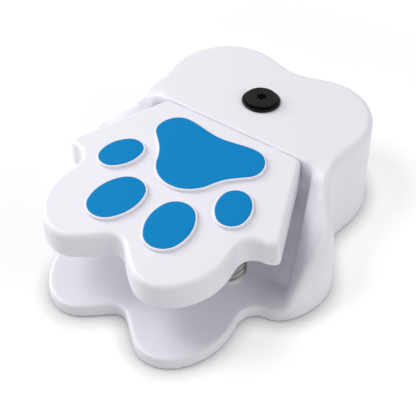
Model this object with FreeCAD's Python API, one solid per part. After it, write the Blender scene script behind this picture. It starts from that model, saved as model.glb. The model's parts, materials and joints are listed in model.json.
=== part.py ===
import FreeCAD, Part
import os
from math import sin, cos, tan, pi, radians, degrees, hypot, atan2, sqrt

# Step-on drinking fountain for dogs: a paw-shaped pedal opens a valve and water jets from the nozzle.
# Millimetres, X to the right, Y to the rear, Z up. The origin is on the floor, under the middle foot.

V = FreeCAD.Vector
X_AXIS = V(1, 0, 0)
Y_AXIS = V(0, 1, 0)
Z_AXIS = V(0, 0, 1)
far = 400.0

# Casing heights, walls and edges
foot_drop = 0.8
tray_top = 10.0
casing_top = 69.2
casing_slope = 2.5
casing_wall = 2.5
casing_draft = 2.3
casing_round = 4.0

# Paw outline of the casing at its foot, right half, from the front middle round to the rear middle.
# Each node is x, y and the heading of the outline there, in degrees.
casing_nodes = [
    (0.0, -149.4, 0.0), (10.5, -155.6, -41.0), (31.5, -167.0, 0.0), (50.3, -157.8, 49.0),
    (61.0, -128.0, 90.0), (59.6, -113.0, 90.0), (69.8, -101.4, 7.0), (83.0, -93.5, 54.0),
    (91.8, -66.5, 90.0), (81.2, -44.0, 126.0), (71.0, -22.0, 90.0), (73.6, 4.0, 90.0),
    (59.5, 38.2, 135.0), (33.0, 49.5, 180.0), (16.0, 46.2, 198.4), (0.0, 42.4, 180.0),
]

# Pedal bay between the two wings
bay_back = -35.5
bay_half_width = 58.0
bay_flare = 18.2
bay_corner = 4.0
bay_edge_round = 1.6
ramp_top = 47.5
ramp_front = -80.0
ramp_slot_width = 15.0

# Scoop on top of each wing: place along Y, height beside the bay, height of the outer crest
# and how far the crest lies inside the casing's wall
scoop_stations = [
    (-8.0, 70.4, 70.4, -4.0), (-16.0, 69.6, 69.6, -3.0), (-23.0, 69.0, 69.0, -1.0),
    (-30.0, 68.6, 68.4, 1.0), (-36.0, 66.2, 66.6, 2.5), (-46.0, 52.5, 62.5, 3.0),
    (-58.0, 39.0, 58.5, 3.0), (-70.0, 26.0, 51.5, 3.0), (-76.0, 20.5, 45.5, 3.0),
    (-82.0, 15.5, 36.0, 3.0), (-88.0, 12.0, 27.5, 3.0), (-94.0, 10.5, 19.0, 3.0),
    (-99.0, 10.0, 12.0, 2.0),
]
scoop_least_width = 9.0
crest_slope = 80.0
crest_round = 2.8

# Pedal
pedal_top = 69.0
pedal_depth = 16.6
pedal_wall = 2.5
pedal_draft = 2.3
pedal_round = 3.2
pedal_back = -36.8
pedal_back_half_width = 50.6
pedal_shoulder = (74.7, -97.0)
pedal_front_nodes = [
    (0.0, -145.9, 0.0), (10.3, -152.5, -41.0), (30.0, -163.1, 0.0), (49.7, -153.3, 50.0),
    (58.8, -128.0, 90.0), (57.6, -113.6, 90.0), (67.6, -103.5, 4.0),
]
pedal_travel = 7.0
rib_thickness = 2.0
rib_depth = 7.0
rib_x = 19.0
rib_y = -110.0

# Pads let into raised bosses on the pedal: an oval is its centre, its half axes and its lean
boss_height = 2.0
boss_margin = 1.2
boss_round = 0.8
pad_depth = 1.0
pad_proud = 0.2
pad_gap = 0.05
main_pad_nodes = [
    (0.0, -99.0, 0.0), (18.9, -85.9, 67.0), (26.2, -74.6, 44.0), (36.9, -60.0, 90.0),
    (24.5, -46.2, 180.0), (9.0, -48.4, 190.0), (0.0, -49.4, 180.0),
]
inner_toe = (18.7, -123.8, 18.3, 13.1, 101.0)
outer_toe = (40.2, -93.3, 14.1, 10.2, 111.0)

# Hinge across the back of the pedal
hinge_y = -45.0
hinge_z = 60.0
rod_radius = 2.0
rod_half_length = 42.0
rod_running_gap = 0.05
ear_radius = 4.5
ear_thickness = 4.0
casing_ear_x = 32.0
pedal_ear_x = 37.0
clip_radius = 3.6
clip_thickness = 0.8
clip_gap = 0.3
clip_seat = 1.5
clip_opening = 0.8

# Return springs of the pedal
spring_x = 37.6
spring_y = -91.5
spring_wire = 1.2
spring_radius = 9.7
spring_turns = 10.5
spring_leg = 2.0
spring_bend = 2.4
spring_start = 200.0
post_radius = 7.5
post_height = 2.5

# Valve on a lengthwise axis behind the bay
valve_z = 23.0
body_radius = 11.0
body_front = -29.0
body_back = 24.0
stem_radius = 3.0
stem_gap = 0.05
stem_head_radius = 3.4
stem_head = 1.2
stem_neck_radius = 2.0
button_radius = 4.0
button_tip = -44.1
button_wall = 2.0
button_round = 1.9
lever_gap = 0.7
lever_width = 12.0
lever_thickness = 4.5
lever_reach = 4.0
gland_radius = 7.0
gland_head_radius = 9.0
gland_head = 3.6
gland_length = 6.0
oring_wire = 1.2
oring_wall = 2.0
chamber_radius = 7.5
seat_y = 6.0
seat_wall = 2.0
seat_bore = 5.0
poppet_radius = 7.0
poppet_thickness = 2.4
poppet_gap = 0.1
stop_gap = 0.3
inlet_chamber_radius = 8.5
valve_ear_x = 16.0
valve_ear_y = 13.0
valve_ear_radius = 4.2
valve_ear_thickness = 4.0

# Hose inlet through the back wall
inlet_radius = 9.5
inlet_bore = 6.0
inlet_throat = 3.6
inlet_throat_length = 2.0
inlet_hole_gap = 0.3
inlet_flange_radius = 13.0
inlet_flange_thickness = 2.6
inlet_boss_radius = 18.5
inlet_recess_radius = 17.0
inlet_boss_front = 36.0
inlet_boss_back = 41.0
inlet_end = 50.4
lock_nut_radius = 14.5
lock_nut_thickness = 3.2
ring_groove_depth = 1.0
ring_outer_radius = 12.0
ring_thickness = 1.4
ring_opening = 5.0
swivel_radius = 15.6
swivel_lip = 3.0
swivel_bore = 12.9
swivel_relief = 13.3
swivel_runout = 0.6
swivel_back = 61.0
swivel_gap = 0.3
swivel_grips = 12
swivel_grip_radius = 1.6
washer_radius = 12.5
washer_thickness = 2.4
screen_thickness = 0.6
screen_hole_radius = 0.9
screen_pitch = 2.8
screen_field = 5.6

# Nozzle, square to the sloping top of the casing
nozzle_y = -2.4
nozzle_radius = 12.3
nozzle_flange = 1.2
nozzle_bevel = 0.5
nozzle_shank_radius = 8.0
nozzle_shank_length = 13.0
nozzle_hole_gap = 0.3
nozzle_bore = 3.4
gasket_radius = 11.4
gasket_thickness = 0.6
nozzle_nut_radius = 12.5
nozzle_nut_thickness = 4.0
cap_radius = 10.3
cap_height = 1.7
cap_bevel = 0.4
cap_gap = 0.3
cap_stem_radius = 5.5
cap_stem_length = 6.0
cap_stem_gap = 0.05
cap_ring_wire = 0.6
jet_radius = 1.2
star_depth = 1.4
star_core_radius = 2.4
star_lobe_radius = 0.95
star_lobe_place = 2.5
star_lobes = 6
barb_radius = 5.0
barb_length = 7.0
stub_length = 9.0
riser_fit = 0.05
riser_wall = 2.0
band_width = 4.0
band_thickness = 0.8
band_lug = 3.0

# Bottom cover, its screws and its feet
cover_thickness = 2.5
cover_gap = 0.3
screw_places = [(30.0, -138.0), (73.4, -66.0), (55.0, 33.6)]
screw_boss_radius = 3.6
screw_boss_top = 25.0
screw_radius = 1.5
screw_length = 5.6
screw_head_radius = 3.0
screw_head_height = 1.4
thread_gap = 0.05
head_gap = 0.2
drive_radius = 1.0
drive_depth = 0.8
foot_places = [(30.0, -125.0), (66.0, -82.0), (62.0, 16.0)]
foot_radius = 6.0
foot_height = 1.6
foot_round = 0.4


# Outlines made of arcs and straight lines

def heading(angle):
    return V(cos(radians(angle)), sin(radians(angle)), 0)


def left_of(direction):
    return V(-direction.y, direction.x, 0)


def biarc(start, u, end, w):
    """Joint of the two equal-handed arcs that leave start along u and reach end along w."""
    span = end - start
    spread = 2 * (1 - u.dot(w))
    along = span.dot(u + w)
    if spread < 1e-9:
        reach = span.dot(span) / (4 * span.dot(w))
    else:
        reach = (-along + sqrt(along ** 2 + spread * span.dot(span))) / spread
    before = start + u * reach
    after = end - w * reach
    return (before + after) * 0.5, (after - before).normalize()


def segments(nodes):
    """Pieces of a closed outline through the nodes: start, heading there, end, heading there."""
    pieces = []
    for (x0, y0, a0), (x1, y1, a1) in zip(nodes, nodes[1:] + nodes[:1]):
        start, end = V(x0, y0, 0), V(x1, y1, 0)
        span = end - start
        if span.Length < 1e-6:
            continue
        u, w = heading(a0), heading(a1)
        if abs(u.cross(span).z) < 1e-4 and abs(w.cross(span).z) < 1e-4:
            pieces.append((start, u, end, w))
            continue
        joint, middle = biarc(start, u, end, w)
        pieces.append((start, u, joint, middle))
        pieces.append((joint, middle, end, w))
    return pieces


def moved_in(point, before, after, inset):
    """A corner or smooth point of an outline, moved towards its inside."""
    n, m = left_of(before), left_of(after)
    return point + (n + m) * (inset / (1 + n.dot(m)))


def mirrored(right):
    """A closed outline from its right half, which runs from the front middle to the rear middle."""
    return right + [(-x, y, -a) for x, y, a in reversed(right)]


def outline(nodes, inset=0.0, z=0.0):
    pieces = segments(nodes)
    edges = []
    for i, (start, u, end, w) in enumerate(pieces):
        a = moved_in(start, pieces[i - 1][3], u, inset)
        b = moved_in(end, w, pieces[(i + 1) % len(pieces)][1], inset)
        turn = atan2(u.cross(w).z, u.dot(w))
        if abs(turn) < 1e-6:
            edges.append(Part.LineSegment(a, b).toShape())
            continue
        chord = b - a
        radius = chord.dot(chord) / (2 * left_of(u).dot(chord))
        centre = a + left_of(u) * radius
        spoke = a - centre
        half = turn / 2
        middle = centre + spoke * cos(half) + left_of(spoke) * sin(half)
        edges.append(Part.Arc(a, middle, b).toShape())
    wire = Part.Wire(edges)
    wire.translate(V(0, 0, z))
    return wire


def drafted(nodes, low, high, inset, draft, level):
    """Solid on an outline, whose walls lean in by the draft; the inset holds at the given level."""
    lean = tan(radians(draft))
    wires = [outline(nodes, inset + (z - level) * lean, z) for z in (low, high)]
    return Part.makeLoft(wires, True, True)


def prism(nodes, low, high, inset=0.0):
    return Part.Face(outline(nodes, inset, low)).extrude(V(0, 0, high - low))


def oval(x, y, long_half, short_half, lean):
    """Nodes of an oval with its long axis leaning from the X axis."""
    nodes = []
    for quarter in range(4):
        reach = long_half if quarter % 2 == 0 else short_half
        place = V(x, y, 0) + heading(lean + 90 * quarter) * reach
        nodes.append((place.x, place.y, lean + 90 * quarter + 90))
    return nodes


def side_x(y, inset):
    """Half width of the casing's outline at its foot, at a place along Y."""
    found = 0.0
    for edge in outline(mirrored(casing_nodes), inset).Edges:
        points = edge.discretize(24)
        for p, q in zip(points, points[1:]):
            if (p.y - y) * (q.y - y) <= 0 and abs(p.y - q.y) > 1e-9:
                share = (y - p.y) / (q.y - p.y)
                found = max(found, p.x + share * (q.x - p.x))
    return found


# Simple solids

def cylinder(radius, low, high, x=0.0, y=0.0):
    return Part.makeCylinder(radius, high - low, V(x, y, low), Z_AXIS)


def cylinder_y(radius, front, back, x=0.0, z=valve_z):
    return Part.makeCylinder(radius, back - front, V(x, front, z), Y_AXIS)


def cylinder_x(radius, left, right, y=hinge_y, z=hinge_z):
    return Part.makeCylinder(radius, right - left, V(left, y, z), X_AXIS)


def tube_y(outer, inner, front, back):
    return cylinder_y(outer, front, back).cut(cylinder_y(inner, front - 1, back + 1))


def block(left, right, front, back, low, high):
    return Part.makeBox(right - left, back - front, high - low, V(left, front, low))


def hexagon_y(radius, front, back):
    """Hexagonal prism along Y on the valve axis, by the radius of its corners."""
    corners = [V(radius * cos(k * pi / 3), front, valve_z + radius * sin(k * pi / 3)) for k in range(7)]
    return Part.Face(Part.makePolygon(corners)).extrude(V(0, back - front, 0))


def ring(major, minor, centre, axis):
    return Part.makeTorus(major, minor, centre, axis)


def fuse_all(solids):
    whole = solids[0].fuse(solids[1:]) if len(solids) > 1 else solids[0]
    return whole.removeSplitter()


def rounded(solid, radius, wanted):
    """Rounds the edges whose middle point passes the test."""
    edges = []
    for edge in solid.Edges:
        middle = edge.valueAt((edge.FirstParameter + edge.LastParameter) / 2)
        if wanted(middle):
            edges.append(edge)
    return solid.makeFillet(radius, edges)


def save(name, shape):
    shape.exportStep("parts/" + name + ".step")
    print(name, "solids", len(shape.Solids), "volume", round(shape.Volume, 1), "valid", shape.isValid())


# Heights that several pieces share
pedal_foot = pedal_top - pedal_depth
pedal_ceiling = pedal_top - pedal_wall
tray_ceiling = tray_top - casing_wall
cover_top = foot_drop + cover_thickness


def top_height(y, wall=0.0):
    return casing_top - wall - (y - bay_back) * tan(radians(casing_slope))


def above_top(wall):
    """Everything above the sloping top, or above the hollow's ceiling."""
    space = block(-far, far, -far, far, 0, far)
    space.rotate(V(0, 0, 0), X_AXIS, -casing_slope)
    space.translate(V(0, bay_back, casing_top - wall))
    return space


# Casing

def ramp(wall):
    """Material below the sloping floor of the bay; with a wall, lowered by it."""
    slope = atan2(ramp_top - tray_top, bay_back - ramp_front)
    space = block(-far, far, 0, far, -far, 0)
    space = space.fuse(block(-far, far, -far, 0, -far, 0)).removeSplitter()
    space.rotate(V(0, 0, 0), X_AXIS, degrees(slope))
    space.translate(V(0, ramp_front, tray_top - wall / cos(slope)))
    return space


def bay(wall):
    """The space between the wings above the tray; with a wall, grown by it."""
    lean = radians(bay_flare)
    back = bay_back + wall
    half = bay_half_width + wall / cos(lean) + wall * tan(lean)
    corner = bay_corner + wall
    tangent = corner * tan((pi / 2 - lean) / 2)
    side = 90 + bay_flare
    front = -far
    start = V(half, back, 0) - heading(side) * tangent
    mouth = start - heading(side) * ((start.y - front) / cos(lean))
    nodes = [
        (0.0, front, 0.0), (mouth.x, front, 0.0), (mouth.x, front, side), (start.x, start.y, side),
        (half - tangent, back, 180.0), (0.0, back, 180.0),
    ]
    return prism(mirrored(nodes), tray_top - wall, far).cut(ramp(wall))


def bay_side(y):
    return bay_half_width + (bay_back - y) * tan(radians(bay_flare))


def crest_x(y, z, inset):
    return side_x(y, inset + (z - foot_drop) * tan(radians(casing_draft)))


def scoop(side, wall):
    """Cutter over one wing, from the bay's edge over the crest; with a wall, lowered by it."""
    fall = tan(radians(crest_slope))
    low = tray_ceiling - wall - casing_wall
    run_in = 3 * bay_corner
    cut_in = bay_corner / 2
    wide = casing_nodes[8][0] + run_in
    wires = []
    last = len(scoop_stations) - 1
    for i, (y, inner, outer, inset) in enumerate(scoop_stations):
        edge = bay_side(y)
        crest = max(crest_x(y, outer, inset), edge + scoop_least_width)
        if wall > 0:
            ahead, behind = scoop_stations[min(i + 1, last)], scoop_stations[max(i - 1, 0)]
            across = (outer - inner) / (crest - edge)
            along = (behind[2] - ahead[2]) / (behind[0] - ahead[0])
            inner = max(inner - wall * hypot(1, across, along), low + 1)
            shifted = crest - wall * hypot(1, 1 / fall)
            ridge = (outer - inner + fall * shifted + across * edge) / (across + fall)
            crest = max(ridge, edge + wall)
            outer = inner + across * (crest - edge)
        foot = crest + (outer - low) / fall
        corners = [
            (edge - cut_in, inner + run_in), (edge, inner), (crest, outer), (foot, low), (wide, low),
            (wide, 2 * casing_top), (edge - cut_in, 2 * casing_top),
        ]
        points = [V(side * x, y, z) for x, z in corners]
        wires.append(Part.makePolygon(points + points[:1]))
    return Part.makeLoft(wires, True, False)


def on_crest(p):
    """Whether a point lies on the crest line of a wing."""
    stations = zip(scoop_stations, scoop_stations[1:])
    for (y0, _, z0, inset0), (y1, _, z1, inset1) in stations:
        if y1 <= p.y <= y0 and inset0 > bay_edge_round:
            share = (p.y - y0) / (y1 - y0)
            z = z0 + share * (z1 - z0)
            x = crest_x(p.y, z, inset0 + share * (inset1 - inset0))
            return hypot(abs(p.x) - x, p.z - z) < bay_edge_round
    return False


def casing_shape(wall):
    """Outer shape of the casing; with a wall, the hollow inside it, open below."""
    nodes = mirrored(casing_nodes)
    low = foot_drop - wall
    shape = drafted(nodes, low, casing_top + 2 * casing_round, wall, casing_draft, foot_drop)
    shape = shape.cut(above_top(wall))
    if wall == 0:
        shape = rounded(shape, casing_round, lambda p: p.z > tray_top + casing_round)
    shape = shape.cut(bay(wall))
    for side in (1, -1):
        shape = shape.cut(scoop(side, wall))
    if wall == 0:
        shape = rounded(shape, crest_round, on_crest)
    return shape


# Places that depend on the sizes above

lever_arm = hinge_z - valve_z
stem_stroke = lever_arm * sin(radians(pedal_travel))
button_back = body_front - gland_head - stem_stroke - stop_gap
gland_shank_end = body_front + gland_length
oring_shoulder = gland_shank_end + 2 * oring_wire + 0.2
chamber_front = oring_shoulder + oring_wall
seat_back = seat_y + seat_wall
poppet_front = seat_back + poppet_gap
poppet_back = poppet_front + poppet_thickness
stem_back = poppet_back + stem_head
inlet_front = stem_back + stem_stroke + stop_gap
ring_front = inlet_end - ring_groove_depth - ring_thickness
swivel_front = ring_front - swivel_gap - swivel_lip
washer_back = inlet_end + washer_thickness
thread_front = washer_back + screen_thickness + swivel_runout
valve_ear_low = valve_z - body_radius
nozzle_base = top_height(nozzle_y)


def on_top(shape):
    """Moves a shape built on the Z axis onto the sloping top of the casing."""
    shape.rotate(V(0, 0, 0), X_AXIS, -casing_slope)
    shape.translate(V(0, nozzle_y, nozzle_base))
    return shape


# Casing with its bosses, ears and holes

def screw_bosses(low):
    bosses = []
    for x, y in screw_places:
        for side in (1, -1):
            top = tray_ceiling + 1 if y < -100 else screw_boss_top
            bosses.append(cylinder(screw_boss_radius, low, top, side * x, y))
    return bosses


def screw_holes(radius, low, high):
    return [cylinder(radius, low, high, side * x, y) for x, y in screw_places for side in (1, -1)]


def foot_centres():
    return [(side * x, y) for x, y in foot_places for side in (1, -1)] + [(0.0, 0.0)]


def casing_ear(side):
    """Bracket on the bay's rear wall that holds the hinge rod and stops the pedal at the top."""
    x = side * casing_ear_x - ear_thickness / 2
    rear = bay_back + casing_wall / 2
    eye = cylinder_x(ear_radius, x, x + ear_thickness)
    arm = block(x, x + ear_thickness, hinge_y, rear, hinge_z - ear_radius, pedal_ceiling - stop_gap)
    return eye.fuse(arm)


def spring_post(side, low, high):
    """Stub that keeps a return spring in its place."""
    return cylinder(post_radius, low, high, side * spring_x, spring_y)


def bay_edge():
    """What the round takes off the front edge of the sloping top."""
    slope = radians(casing_slope)
    y = bay_back + bay_edge_round
    z = top_height(y) - bay_edge_round / cos(slope)
    rear = y + bay_edge_round * sin(slope)
    corner = block(-bay_half_width, bay_half_width, bay_back - 1, rear, z, casing_top + 1)
    return corner.cut(cylinder_x(bay_edge_round, -far, far, y, z))


def housing():
    shell = casing_shape(0).cut(casing_shape(casing_wall)).cut(bay_edge())
    parts = [shell, casing_ear(1), casing_ear(-1)] + screw_bosses(cover_top)
    parts.append(cylinder_y(inlet_boss_radius, inlet_boss_front, inlet_boss_back + 1))
    for side in (1, -1):
        parts.append(spring_post(side, tray_top - casing_wall / 2, tray_top + post_height))
    body = fuse_all(parts)
    body = body.cut(cylinder_y(inlet_recess_radius, inlet_boss_back, far))
    body = body.cut(cylinder_y(inlet_radius + inlet_hole_gap, 0, far))
    lever_back = button_tip - lever_gap
    slot_back = lever_back + (hinge_z - tray_top) * sin(radians(pedal_travel))
    slot_front = lever_back - 1.5 * lever_thickness
    half_slot = ramp_slot_width / 2
    body = body.cut(block(-half_slot, half_slot, slot_front, slot_back, tray_top, ramp_top))
    body = body.cut(cylinder_x(rod_radius + rod_running_gap, -rod_half_length - 1, rod_half_length + 1))
    pilot_top = cover_top + screw_length - cover_thickness + screw_head_height + 0.5
    for hole in screw_holes(screw_radius + thread_gap, foot_drop, pilot_top):
        body = body.cut(hole)
    return body.cut(on_top(cylinder(nozzle_shank_radius + nozzle_hole_gap, -casing_top / 4, casing_round)))


# Bottom cover, screws and feet

def bottom_cover():
    nodes = mirrored(casing_nodes)
    plate = prism(nodes, foot_drop, cover_top, casing_wall + cover_gap)
    for side in (1, -1):
        x = side * valve_ear_x
        post = cylinder(valve_ear_radius, foot_drop + 1, valve_ear_low, x, valve_ear_y)
        pilot = cylinder(screw_radius + thread_gap, cover_top, valve_ear_low + 1, x, valve_ear_y)
        plate = plate.fuse(post).cut(pilot)
    for hole in screw_holes(screw_radius + head_gap, 0, cover_top + 1):
        plate = plate.cut(hole)
    for sink in screw_holes(screw_head_radius + head_gap, 0, foot_drop + screw_head_height):
        plate = plate.cut(sink)
    for x, y in foot_centres():
        plate = plate.cut(cylinder(foot_radius + thread_gap, 0, foot_height, x, y))
    return plate


def screw():
    """A screw on the Z axis: head from 0 up to its height, shank above it, recess below."""
    shank = cylinder(screw_radius, 0, screw_head_height + screw_length)
    body = cylinder(screw_head_radius, 0, screw_head_height).fuse(shank).removeSplitter()
    drive = block(-drive_radius, drive_radius, -drive_radius / 3, drive_radius / 3, -1, drive_depth)
    cross = drive.copy()
    cross.rotate(V(0, 0, 0), Z_AXIS, 90)
    return body.cut(drive).cut(cross)


def cover_screws():
    screws = []
    for x, y in screw_places:
        for side in (1, -1):
            piece = screw()
            piece.translate(V(side * x, y, foot_drop))
            screws.append(piece)
    return Part.makeCompound(screws)


def valve_screws():
    screws = []
    head_top = valve_ear_low + valve_ear_thickness + screw_head_height
    for side in (1, -1):
        piece = screw()
        piece.rotate(V(0, 0, 0), X_AXIS, 180)
        piece.translate(V(side * valve_ear_x, valve_ear_y, head_top))
        screws.append(piece)
    return Part.makeCompound(screws)


def rubber_feet():
    feet = []
    for x, y in foot_centres():
        disc = cylinder(foot_radius, 0, foot_height, x, y)
        feet.append(rounded(disc, foot_round, lambda p: p.z < 0.01))
    return Part.makeCompound(feet)


# Pedal, its pads and its hinge

def pedal_nodes():
    """Outline of the pedal, carried on smoothly behind its rear edge, where it is cut off later."""
    x, y = pedal_shoulder
    lean = (x - pedal_back_half_width) / (pedal_back - y)
    behind = pedal_back + pedal_depth
    corner = (x - lean * (behind - y), behind, 90 + degrees(atan2(lean, 1)))
    shoulder = (x, y, corner[2])
    return mirrored(pedal_front_nodes + [shoulder, corner, (0.0, behind + pedal_back_half_width, 180.0)])


def pad_outlines():
    outlines = {"main_pad": mirrored(main_pad_nodes)}
    for name, (x, y, long_half, short_half, lean) in (("inner", inner_toe), ("outer", outer_toe)):
        outlines["toe_pad_right_" + name] = oval(x, y, long_half, short_half, lean)
        outlines["toe_pad_left_" + name] = oval(-x, y, long_half, short_half, 180 - lean)
    return outlines


def pedal_ear(x, thickness, low, front, rear):
    """Plate below the pedal's skin with a round eye for the hinge rod."""
    left = x - thickness / 2
    plate = block(left, left + thickness, front, rear, low, pedal_ceiling + pedal_wall / 2)
    return plate.fuse(cylinder_x(ear_radius, left, left + thickness))


def pedal_ribs():
    """Two ribs along the pedal and one across it, below its skin."""
    low, high = pedal_ceiling - rib_depth, pedal_ceiling + pedal_wall / 2
    half = rib_thickness / 2
    front, rear = pedal_front_nodes[1][1] + pedal_wall, hinge_y - ear_radius
    cross_half = pedal_front_nodes[5][0] - pedal_wall / 2
    ribs = [block(x - half, x + half, front, rear, low, high) for x in (rib_x, -rib_x)]
    return ribs + [block(-cross_half, cross_half, rib_y - half, rib_y + half, low, high)]


def pedal():
    nodes = pedal_nodes()
    outer = drafted(nodes, pedal_foot, pedal_top, 0, pedal_draft, pedal_foot)
    outer = rounded(outer, pedal_round, lambda p: p.z > pedal_top - 0.1)
    inner = drafted(nodes, pedal_foot - pedal_wall, pedal_ceiling, pedal_wall, pedal_draft, pedal_foot)
    body = outer.cut(inner).cut(block(-far, far, pedal_back, far, 0, far))
    half = pedal_back_half_width - 2 * pedal_wall
    body = body.cut(block(-half, half, hinge_y, far, 0, pedal_ceiling))
    parts = [body] + pedal_ribs()
    for side in (1, -1):
        ear_front, ear_back = hinge_y - ear_radius, hinge_y + ear_radius
        parts.append(pedal_ear(side * pedal_ear_x, ear_thickness, hinge_z, ear_front, ear_back))
        parts.append(spring_post(side, pedal_ceiling - post_height, pedal_ceiling + pedal_wall / 2))
    lever_back = button_tip - lever_gap
    lever_low = valve_z - lever_reach
    parts.append(pedal_ear(0, lever_width, lever_low, lever_back - lever_thickness, lever_back))
    for nodes in pad_outlines().values():
        boss = prism(nodes, pedal_top - pedal_wall / 2, pedal_top + boss_height, -boss_margin)
        parts.append(rounded(boss, boss_round, lambda p: p.z > pedal_top + boss_height - 0.1))
    body = fuse_all(parts)
    pad_low, pad_high = pedal_top + boss_height - pad_depth, pedal_top + 2 * boss_height
    for nodes in pad_outlines().values():
        body = body.cut(prism(nodes, pad_low, pad_high, -pad_gap))
    return body.cut(cylinder_x(rod_radius + rod_running_gap, -rod_half_length, rod_half_length))


def pad(nodes):
    low = pedal_top + boss_height - pad_depth
    high = pedal_top + boss_height + pad_proud
    return rounded(prism(nodes, low, high), pad_proud, lambda p: p.z > high - 0.01)


def hinge_rod():
    rod = cylinder_x(rod_radius, -rod_half_length, rod_half_length)
    for side in (1, -1):
        left = clip_place(side)
        groove = cylinder_x(rod_radius + 1, left, left + clip_thickness)
        rod = rod.cut(groove.cut(cylinder_x(clip_seat, left, left + clip_thickness)))
    return rod


def clip_place(side):
    """Left face of a retaining clip, just outside the pedal's ear."""
    near = pedal_ear_x + ear_thickness / 2 + clip_gap
    return near if side > 0 else -near - clip_thickness


def hinge_clips():
    clips = []
    for side in (1, -1):
        x = clip_place(side)
        clip = cylinder_x(clip_radius, x, x + clip_thickness)
        clip = clip.cut(cylinder_x(clip_seat, x - 1, x + 2 * clip_thickness))
        mouth = clip_seat * clip_opening
        low = hinge_z - 2 * clip_radius
        slot = block(x - 1, x + 2 * clip_thickness, hinge_y - mouth, hinge_y + mouth, low, hinge_z)
        clips.append(clip.cut(slot))
    return Part.makeCompound(clips)


# Springs

def arc_middle(start, u, end):
    """Middle point of the arc that leaves start along u and reaches end."""
    chord = end - start
    share = chord.dot(chord) / (2 * u.dot(chord))
    apex = start + u * share
    middle = (start + end) * 0.5
    half_angle = u.getAngle(chord)
    if half_angle < 1e-7:
        return None
    return middle + (apex - middle).normalize() * (chord.Length / 2 * tan(half_angle / 2))


def arc_edge(start, u, end):
    middle = arc_middle(start, u, end)
    if middle is None:
        return Part.LineSegment(start, end).toShape()
    return Part.Arc(start, middle, end).toShape()


def coil_nodes():
    """Points and directions along the wire of a return spring, from the tray to the pedal."""
    low = tray_top + spring_leg + spring_bend
    high = pedal_ceiling - spring_leg - spring_bend
    pitch = (high - low) / spring_turns
    bend_turn = degrees(spring_bend / spring_radius)
    climb = atan2(pitch, 2 * pi * spring_radius)
    steps = round(4 * spring_turns)
    nodes = []

    def place(angle, z):
        return V(spring_x, spring_y, z) + heading(angle) * spring_radius

    def along(angle):
        a = radians(angle)
        return V(-sin(a) * cos(climb), cos(a) * cos(climb), sin(climb))

    first = spring_start
    last = spring_start + 360 * spring_turns
    nodes.append((place(first - bend_turn, tray_top), Z_AXIS))
    nodes.append((place(first - bend_turn, tray_top + spring_leg), Z_AXIS))
    for i in range(steps + 1):
        angle = first + (last - first) * i / steps
        nodes.append((place(angle, low + (high - low) * i / steps), along(angle)))
    nodes.append((place(last + bend_turn, pedal_ceiling - spring_leg), Z_AXIS))
    nodes.append((place(last + bend_turn, pedal_ceiling), Z_AXIS))
    return nodes


def pedal_spring():
    nodes = coil_nodes()
    edges = [Part.LineSegment(nodes[0][0], nodes[1][0]).toShape()]
    for (start, u), (end, w) in zip(nodes[1:-2], nodes[2:-1]):
        joint, middle = biarc(start, u, end, w)
        edges.append(arc_edge(start, u, joint))
        edges.append(arc_edge(joint, middle, end))
    edges.append(Part.LineSegment(nodes[-2][0], nodes[-1][0]).toShape())
    path = Part.Wire(edges)
    section = Part.Wire(Part.makeCircle(spring_wire / 2, nodes[0][0], Z_AXIS))
    print("spring: least gap between its turns", round(least_gap(edges), 2), "mm")
    return path.makePipeShell([section], True, False)


def least_gap(edges):
    """Least space between stretches of the wire that are more than half a turn apart along it."""
    points = []
    for edge in edges:
        points += edge.discretize(6)[1:]
    apart = pi * spring_radius
    run = [0.0]
    for p, q in zip(points, points[1:]):
        run.append(run[-1] + (q - p).Length)
    least = far
    for i in range(len(points)):
        for j in range(i + 1, len(points)):
            if run[j] - run[i] > apart:
                least = min(least, (points[i] - points[j]).Length)
    return least - spring_wire


# Valve

def valve_body():
    body = cylinder_y(body_radius, body_front, body_back)
    ears = block(-valve_ear_x, valve_ear_x, valve_ear_y - valve_ear_radius, valve_ear_y + valve_ear_radius,
                 valve_ear_low, valve_ear_low + valve_ear_thickness)
    parts = [body, ears]
    ear_top = valve_ear_low + valve_ear_thickness
    for x in (valve_ear_x, -valve_ear_x):
        parts.append(cylinder(valve_ear_radius, valve_ear_low, ear_top, x, valve_ear_y))
    stub_top = riser_low() + stub_length
    parts.append(on_top(cylinder(barb_radius, valve_z - nozzle_base, stub_top)))
    body = fuse_all(parts)
    body = body.cut(on_top(cylinder(nozzle_bore, valve_z - nozzle_base, stub_top + 1)))
    packing_radius = stem_radius + 2 * oring_wire + 2 * stem_gap
    bores = [
        (gland_radius, body_front, gland_shank_end), (packing_radius, body_front, oring_shoulder),
        (stem_radius + stem_gap, body_front, seat_y), (chamber_radius, chamber_front, seat_y),
        (seat_bore, seat_y - 1, seat_back + 1), (inlet_chamber_radius, seat_back, body_back),
    ]
    for radius, front, back in bores:
        body = body.cut(cylinder_y(radius, front, back))
    for x in (valve_ear_x, -valve_ear_x):
        body = body.cut(cylinder(screw_radius + head_gap, 0, ear_top + 1, x, valve_ear_y))
    return body


def gland_nut():
    head = hexagon_y(gland_head_radius, body_front - gland_head, body_front)
    shank = cylinder_y(gland_radius - thread_gap, body_front - gland_head / 2, gland_shank_end)
    bore = cylinder_y(stem_radius + stem_gap, body_front - 2 * gland_head, gland_shank_end + 1)
    return head.fuse(shank).removeSplitter().cut(bore)


def stem_oring():
    middle = V(0, (gland_shank_end + oring_shoulder) / 2, valve_z)
    return ring(stem_radius + oring_wire, oring_wire, middle, Y_AXIS)


def valve_stem():
    stem = cylinder_y(stem_radius, button_tip + button_wall, poppet_front)
    stem = stem.fuse(cylinder_y(stem_neck_radius, poppet_front - 1, poppet_back + 0.5))
    return stem.fuse(cylinder_y(stem_head_radius, poppet_back, stem_back)).removeSplitter()


def stem_button():
    button = cylinder_y(button_radius, button_tip, button_back)
    button = rounded(button, button_round, lambda p: p.y < button_tip + 0.1)
    return button.cut(cylinder_y(stem_radius, button_tip + button_wall, 0))


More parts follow.
